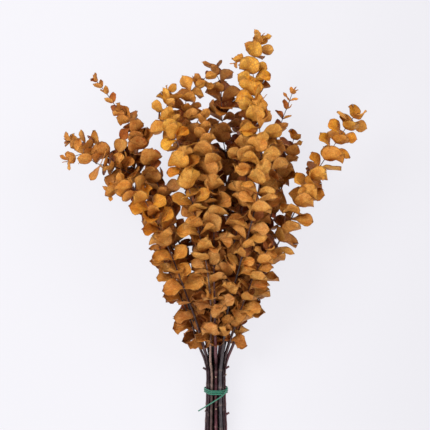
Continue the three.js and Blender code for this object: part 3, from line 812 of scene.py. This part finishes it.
def leaf_tints(leaf, palette, cover, chance):
    """The colours of a leaf's two faces: varied from leaf to leaf, browner on old leaves, and darkened with
    painted shade on leaves low in the bunch and on covered ones.
    """
    light, full = (linear(c) for c in PALETTE[palette])
    tint = light.lerp(full, chance.random() ** 1.3)
    if chance.random() < TAN_CHANCE:
        tint = tint.lerp(linear(PALETTE["tan"][0]), 0.7)
    if leaf.age < BUD_AGE:
        tint = tint.lerp(linear(BUD_COLOUR), BUD_SHARE)
    old = part(leaf.age, OLD_FROM, OLD_BY) * OLDEST
    # Painted shade: leaves low in the bunch and leaves with others over them are darkened towards a dark brown
    low = part(leaf.foot.z, LOW_SHADE_FROM, LOW_SHADE_BY) * MOST_LOW_SHADE
    dark = 1 - (1 - low) * (1 - part(cover, COVER_SHADE_FROM, COVER_SHADE_BY) * MOST_COVER_SHADE)
    tint = tint.lerp(linear(OLD_LEAF), old).lerp(linear(SHADE_LEAF_COLOUR), dark) * chance.uniform(0.88, 1.12)
    under = tint.lerp(linear(UNDERSIDE), 0.45) * chance.uniform(0.88, 1.02)
    return tint, under


def blade_marks(leaf, chance):
    """How one blade differs from the others, and how worn it is."""
    marks = {
        "place": chance.uniform(0, 99),
        "ripples": chance.uniform(2, 5),
        "curl": chance.uniform(-0.12, 0.1),
        "crisp": chance.choice((0.01, 0.02, 0.045)),
        "pointed": chance.choice((0.9, 1.15, 1.45, 1.8) if leaf.is_round else (1.3, 1.6, 2.0)),
        "fold": chance.choice((0, 0.06, 0.16, 0.32)),
        "uneven": chance.uniform(0.05, 0.3),
    }
    worn = part(leaf.foot.y, WORN_FROM, WORN_BY)
    return {mark: amount + WORN.get(mark, 0) * worn for mark, amount in marks.items()}


def branches_of(stem):
    cut = stem["cut"]
    low = [-cut, -STRAIGHT_BELOW, STRAIGHT_ABOVE, OPENING_ABOVE]
    route = [slot_point(stem["slot"], along) for along in low] + stem["route"]
    main = Branch(route, [along + cut for along in low], cut + STRAIGHT_ABOVE, STEM_RADIUS, cut + BARE_ABOVE,
                  stem["seed"], stem["age"], stem["apart"], stem.get("slim", SLIMNESS), stem.get("pace", 1))
    twigs = [Branch(twig_route, [0], 0, TWIG_RADIUS, BARE_TWIG, seed, age, 1)
             for seed, age, twig_route in stem.get("twigs", [])]
    return [main, *twigs]


# The lowest leaves are the most worn: how far up that reaches, and what it adds to the marks of their blades
WORN_FROM = 205
WORN_BY = 75
WORN = {"fold": 0.24, "crisp": 0.05, "uneven": 0.5, "pointed": 0.4}

# The stems that show as dark lines between their leaves, and how many of their low added leaves are left out
FRONT = ("left_front", "left_low", "right_low", "centre_front", "left_arching", "right_arching")
THINNED_ABOVE = 105
THINNED_BELOW = 215
THINNED = 0.3


class Room:
    """What is already there, as points in small cells, so that added leaves find free room."""

    CELL = 3.0
    REACH = 1.7
    COLUMN = 6.0
    CLEAR_ABOVE = 11
    BESIDE_STEM = 3.6
    OVER_STEM = 28

    def __init__(self):
        self.cells = {}
        self.columns = {}
        self.shown = {}

    def cell(self, point):
        return tuple(math.floor(v / self.CELL) for v in point)

    def fill(self, points, owner):
        for point in points:
            self.cells.setdefault(self.cell(point), []).append((point, owner))
            self.columns.setdefault(self.column(point), []).append(point.z)

    def column(self, point):
        return math.floor(point.x / self.COLUMN), math.floor(point.y / self.COLUMN)

    def show(self, point):
        """Keeps a point of a front stem, which added leaves leave in view."""
        self.shown.setdefault(self.column(point), []).append(point)

    def around(self, table, point):
        """What a table holds for a point's column and those round it."""
        x, y = self.column(point)
        return [held for i in (-1, 0, 1) for j in (-1, 0, 1) for held in table.get((x + i, y + j), ())]

    def is_over_stem(self, point):
        return any(0 < point.z - p.z < self.OVER_STEM and (point - p).xy.length < self.BESIDE_STEM
                   for p in self.around(self.shown, point))

    def hides(self, points):
        """How many of the points lie just over a front stem."""
        return sum(self.is_over_stem(point) for point in points)

    def cover(self, point):
        """How many points of other leaves and stems lie over a point, near its upright line."""
        return sum(h > point.z + self.CLEAR_ABOVE for h in self.around(self.columns, point))

    def is_taken(self, point, owner):
        x, y, z = self.cell(point)
        cells = ((x + i, y + j, z + k) for i in (-1, 0, 1) for j in (-1, 0, 1) for k in (-1, 0, 1))
        return any(whose is not owner and (other - point).length < self.REACH
                   for cell in cells for other, whose in self.cells.get(cell, ()))

    def crowding(self, points, owner):
        return sum(self.is_taken(point, owner) for point in points)


def blade_samples(leaf):
    """Points spread over a blade in its present attitude."""
    samples = []
    for a in (0.2, 0.45, 0.7, 0.95):
        wide = half_width(a, leaf.is_round)
        cup = between(a, CUP_ALONG)
        for s in (-0.9, -0.45, 0, 0.45, 0.9):
            samples.append(leaf.point(a, s * wide, leaf.cup * cup * abs(s) ** CUP_POWER))
    return samples


def find_room(leaf, room, owner):
    """Turns an added leaf to its least crowded attitude, and tells whether it has room there."""
    best, least = None, MOST_CROWDED + 1
    start = int(leaf.pitch) % len(ATTITUDES)
    for attitude in ATTITUDES[start:] + ATTITUDES[:start]:
        leaf.turn_to(attitude)
        samples = blade_samples(leaf)
        heights = [p.z for p in samples]
        if min(heights) < LOWEST or max(heights) > HIGHEST:
            continue
        crowding = room.crowding(samples, owner) + HIDING * room.hides(samples)
        if crowding < least:
            best, least = attitude, crowding
        if least == 0:
            break
    if best:
        leaf.turn_to(best)
    return best is not None


def frame_tree(node):
    """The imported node's own corners, to look leaves up in."""
    corners = [v.co * 1000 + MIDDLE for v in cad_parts[node].data.vertices]
    tree = KDTree(len(corners))
    for i, corner in enumerate(corners):
        tree.insert(corner, i)
    tree.balance()
    return tree


class Stem:
    """One stem with its twigs: its leaves are settled, and its two pieces made once all have their place."""

    STEP = 3

    def __init__(self, name, facts):
        self.name = name
        self.facts = facts
        self.node = "leafy_stem_" + name
        self.branches = branches_of(facts)
        self.settled = []

    def settle_frame_leaves(self, room):
        tree = frame_tree(self.node)
        self.missing = []
        for branch in self.branches:
            for step in range(int(branch.length / self.STEP)):
                point = branch.curve.along(step * self.STEP)
                room.fill([point], branch)
                if self.name in FRONT and point.y < THINNED_BELOW:
                    room.show(point)
            for leaf in branch.leaves:
                attitude = leaf_attitude(leaf, tree)
                if attitude:
                    leaf.turn_to(attitude)
                    room.fill(blade_samples(leaf), leaf)
                    self.settled.append(leaf)
                else:
                    self.missing.append((leaf, branch))
            self.missing += [(leaf, branch) for leaf in branch.added]

    def settle_added_leaves(self, room):
        thinning = random.Random(self.facts["seed"] + 500)
        for leaf, branch in self.missing:
            may_go = self.name in FRONT and THINNED_ABOVE < leaf.foot.y < THINNED_BELOW
            if may_go and thinning.random() < THINNED:
                continue
            if find_room(leaf, room, branch):
                room.fill(blade_samples(leaf), leaf)
                self.settled.append(leaf)

    def make(self, materials, room):
        leaves, wood = PieceMesh(), PieceMesh()
        chance, bark, slot = random.Random(self.facts["seed"]), self.facts["bark"], self.facts["slot"]
        for i, branch in enumerate(self.branches):
            low_end = self.facts["cut"] + BARE_ABOVE if i == 0 else 0
            add_branch(wood, branch, low_end, bark, self.facts["seed"] + i)
        for leaf in self.settled:
            middle = leaf.point(0.5, 0, 0)
            tint, under = leaf_tints(leaf, self.facts["leaves"], room.cover(middle), chance)
            add_blade(leaves, leaf, tint, under, blade_marks(leaf, chance))
        for along, angle in self.facts.get("stubs", []):
            add_stub(wood, slot, along, angle, bark)
        for along in self.facts.get("scars", []):
            thinner = PALE_SLENDER if bark == "pale" else 1
            add_scar(wood, slot_point(slot, along), UP, Vector((0, 1, 0)), STEM_RADIUS * thinner * 0.9)
        leaves.make("leaves_" + self.name, materials["leaf"], "leaf", self.node)
        wood.make("bark_" + self.name, materials["bark"], "bark", self.node)


class Shader:
    """A material's node tree, with short calls for the nodes that the materials use."""

    def __init__(self, name, roughness, specular=0.5):
        self.material = bpy.data.materials.new(name)
        self.material.use_nodes = True
        self.tree = self.material.node_tree
        self.surface = self.tree.nodes["Principled BSDF"]
        self.surface.inputs["Roughness"].default_value = roughness
        self.surface.inputs["Specular IOR Level"].default_value = specular
        self.position = self.node("ShaderNodeTexCoord").outputs["Object"]

    def node(self, kind, inputs=None, **settings):
        made = self.tree.nodes.new(kind)
        for key, value in settings.items():
            setattr(made, key, value)
        for key, value in (inputs or {}).items():
            if isinstance(value, bpy.types.NodeSocket):
                self.tree.links.new(value, made.inputs[key])
            else:
                made.inputs[key].default_value = value
        return made

    def math(self, operation, a, b=0.0):
        return self.node("ShaderNodeMath", {0: a, 1: b}, operation=operation).outputs[0]

    def times(self, a, b):
        return self.math("MULTIPLY", a, b)

    def ramp(self, value, low, high, to_low=0.0, to_high=1.0):
        inputs = {"Value": value, "From Min": low, "From Max": high, "To Min": to_low, "To Max": to_high}
        return self.node("ShaderNodeMapRange", inputs, interpolation_type="SMOOTHSTEP").outputs["Result"]

    def noise(self, scale, detail=3.0, roughness=0.55, vector=None):
        vector = self.position if vector is None else vector
        inputs = {"Vector": vector, "Scale": scale, "Detail": detail, "Roughness": roughness}
        return self.node("ShaderNodeTexNoise", inputs).outputs["Fac"]

    def mix(self, factor, a, b):
        return self.node("ShaderNodeMix", {0: factor, 6: a, 7: b}, data_type="RGBA").outputs[2]

    def scaled(self, colour, amount):
        """A colour made lighter or darker by an amount."""
        return self.node("ShaderNodeVectorMath", {0: colour, "Scale": amount}, operation="SCALE").outputs[0]

    def tinted(self, colour, amounts):
        """A colour with its red, green and blue each made stronger or weaker."""
        return self.node("ShaderNodeVectorMath", {0: colour, 1: amounts}, operation="MULTIPLY").outputs[0]

    def tint(self):
        return self.node("ShaderNodeAttribute", attribute_name="tint").outputs["Color"]

    def parts_of(self, vector):
        return self.node("ShaderNodeSeparateXYZ", {"Vector": vector}).outputs

    def place(self):
        """The three parts of a point's place on its blade; on bark the first part is its share of painted shade
        and light.
        """
        return self.parts_of(self.node("ShaderNodeAttribute", attribute_name="place").outputs["Vector"])

    def link(self, value, socket):
        self.tree.links.new(value, self.surface.inputs[socket])

    def bump(self, height, strength, distance):
        inputs = {"Height": height, "Strength": strength, "Distance": distance}
        self.link(self.node("ShaderNodeBump", inputs).outputs["Normal"], "Normal")


def leaf_material(name, vein_light, relief):
    """A dry leaf: midrib, side veins and a fine net between them, mottling, and a thin dark margin."""
    s = Shader(name, 0.62, 0.28)
    a, b, edge = s.place()
    off = s.math("ABSOLUTE", b)
    bent = s.noise(260, 2)
    fan = s.math("ADD", s.times(s.math("SUBTRACT", a, s.times(off, 0.95)), 9.5), s.times(bent, 0.9))
    stripe = s.math("ABSOLUTE", s.math("SUBTRACT", s.math("FRACT", fan), 0.5))
    side_vein = s.times(s.ramp(stripe, 0.0, 0.18, 1, 0), s.ramp(edge, 0.55, 0.98, 1, 0.2))
    midrib = s.ramp(off, 0.008, 0.03, 1, 0)
    net = s.node("ShaderNodeTexVoronoi", {"Vector": s.position, "Scale": 900.0}, feature="DISTANCE_TO_EDGE")
    net_line = s.ramp(net.outputs["Distance"], 0.0, 0.12, 1, 0)
    veins = s.math("MAXIMUM", s.math("MAXIMUM", midrib, s.times(side_vein, 0.65)), s.times(net_line, 0.3))
    tint = s.tint()
    blotch = s.ramp(s.noise(110, 5, 0.65), 0.3, 0.72)
    speck = s.ramp(s.noise(480, 5, 0.8), 0.34, 0.66, 0.76, 1.17)
    colour = s.mix(blotch, s.tinted(tint, (0.82, 0.62, 0.4)), s.tinted(tint, (1.16, 1.23, 1.3)))
    colour = s.scaled(colour, speck)
    stain = s.times(s.ramp(s.noise(150, 5, 0.7), 0.58, 0.72), 0.45)
    colour = s.mix(stain, colour, s.tinted(colour, (0.76, 0.62, 0.5)))
    colour = s.mix(s.times(veins, 0.9), colour, s.scaled(colour, vein_light))
    base = s.times(s.ramp(a, 0.0, 0.2, 1, 0), 0.4)
    colour = s.mix(base, colour, s.tinted(colour, (0.6, 0.5, 0.55)))
    margin = s.times(s.ramp(edge, 0.87, 0.99), 0.75)
    colour = s.mix(margin, colour, s.scaled(colour, 0.45))
    s.link(colour, "Base Color")
    s.link(s.ramp(s.noise(300, 3), 0.3, 0.7, 0.42, 0.7), "Roughness")
    height = s.math("ADD", s.times(veins, relief), s.times(s.noise(520, 4), 0.5))
    s.bump(height, 0.55, 0.0006)
    return s.material


def bark_material():
    """Smooth dry bark, streaked along the stem, with a dull bloom and fine pores."""
    s = Shader("dry_bark", 0.5, 0.3)
    stretched = s.node("ShaderNodeMapping", {"Vector": s.position, "Scale": (1, 0.12, 1)}).outputs["Vector"]
    tint = s.tint()
    streak = s.noise(900, 4, 0.65, stretched)
    colour = s.scaled(tint, s.ramp(streak, 0.3, 0.7, 0.35, 1.85))
    bloom = s.times(s.ramp(s.noise(130, 4), 0.48, 0.75), 0.16)
    colour = s.mix(bloom, colour, (0.10, 0.09, 0.10, 1))
    pore = s.node("ShaderNodeTexVoronoi", {"Vector": s.position, "Scale": 700.0}).outputs["Distance"]
    colour = s.mix(s.times(s.ramp(pore, 0.1, 0.22, 1, 0), 0.5), colour, (0.2, 0.15, 0.12, 1))
    s.link(colour, "Base Color")
    # Painted shade on the specular too: bark darkened inside the bundle reflects less
    s.link(s.ramp(s.place()[0], 0.2, 1.1, 0.02, 0.5), "Specular IOR Level")
    s.link(s.ramp(streak, 0.3, 0.7, 0.4, 0.62), "Roughness")
    s.bump(s.math("ADD", streak, s.ramp(pore, 0.05, 0.2, 0.4, 0)), 0.4, 0.0004)
    return s.material


def wire_material():
    """A satin plastic coat, a little rubbed."""
    s = Shader("green_plastic_coat", 0.35, 0.5)
    worn = s.noise(800, 4)
    s.link(s.scaled(s.tint(), s.ramp(worn, 0.3, 0.75, 0.8, 1.2)), "Base Color")
    s.link(s.ramp(worn, 0.3, 0.7, 0.3, 0.5), "Roughness")
    s.bump(worn, 0.15, 0.0002)
    return s.material


def floor_material():
    s = Shader("glowing_floor", 0.9, 0.2)
    grain = s.ramp(s.noise(700, 4), 0.3, 0.7, 0.985, 1.0)
    s.link(s.scaled((0.12, 0.12, 0.127), grain), "Base Color")
    # Painted light: the floor glows pale, so shadows on it stay faint, and the glow fades a little towards the
    # right as a painted falloff of the lamps' light; its own colour is a dark grey with a fine grain
    s.surface.inputs["Emission Color"].default_value = (0.955, 0.945, 1.0, 1)
    s.link(s.ramp(s.parts_of(s.position)[0], -0.05, 0.42, 0.79, 0.725), "Emission Strength")
    return s.material


# The camera looks straight down from above the middle of the photo's view, with the leaf tips up
CAMERA_PLACE = (0.0019, 0.0414, 1.805)
VIEW_ANGLE = 20.36
FLOOR_SIZE = 16.0


def set_camera():
    data = bpy.data.cameras.new("camera")
    data.sensor_width = 36
    data.lens = data.sensor_width / 2 / math.tan(math.radians(VIEW_ANGLE / 2))
    camera = add_object("camera", data)
    camera.location = CAMERA_PLACE
    bpy.context.scene.camera = camera


def add_light(name, place, size, power, colour):
    data = bpy.data.lights.new(name, "AREA")
    data.shape = "DISK"
    data.size = size
    data.energy = power
    data.color = colour
    light = add_object(name, data)
    light.location = place
    light.rotation_euler = (-Vector(place)).to_track_quat("-Z", "Y").to_euler()


def set_stage():
    """A floor that glows pale with painted light, a little less towards the right, and soft studio light from
    above, a little stronger from the upper left.
    """
    mesh = bpy.data.meshes.new("floor")
    half = FLOOR_SIZE / 2
    corners = [(-half, -half, 0), (half, -half, 0), (half, half, 0), (-half, half, 0)]
    mesh.from_pydata(corners, [], [(0, 1, 2, 3)])
    mesh.materials.append(floor_material())
    floor = add_object("floor", mesh)
    world = bpy.data.worlds.new("studio")
    world.use_nodes = True
    background = world.node_tree.nodes["Background"].inputs
    background["Color"].default_value = (1.0, 0.975, 0.95, 1)
    background["Strength"].default_value = 0.4
    bpy.context.scene.world = world
    add_light("key", (-1.4, 0.9, 1.9), 1.3, 45, (1.0, 0.985, 0.965))
    add_light("fill", (1.7, 0.7, 1.5), 1.5, 26, (1.0, 0.98, 0.95))
    add_light("low_fill", (-0.4, -1.6, 1.6), 1.5, 17, (1.0, 0.98, 0.95))
    bpy.context.scene.view_settings.view_transform = "Standard"


set_camera()
set_stage()
MATERIALS = {
    "leaf": [leaf_material("dry_leaf_face", 1.3, 0.8), leaf_material("dry_leaf_underside", 0.75, 1.2)],
    "bark": [bark_material()],
}
stems = [Stem(name, {**dict(zip(FACTS, row)), **dict(*row[len(FACTS):])}) for name, row in STEMS.items()]
room = Room()
for stem in stems:
    stem.settle_frame_leaves(room)
for stem in stems:
    stem.settle_added_leaves(room)
for stem in stems:
    stem.make(MATERIALS, room)
make_tie(wire_material())
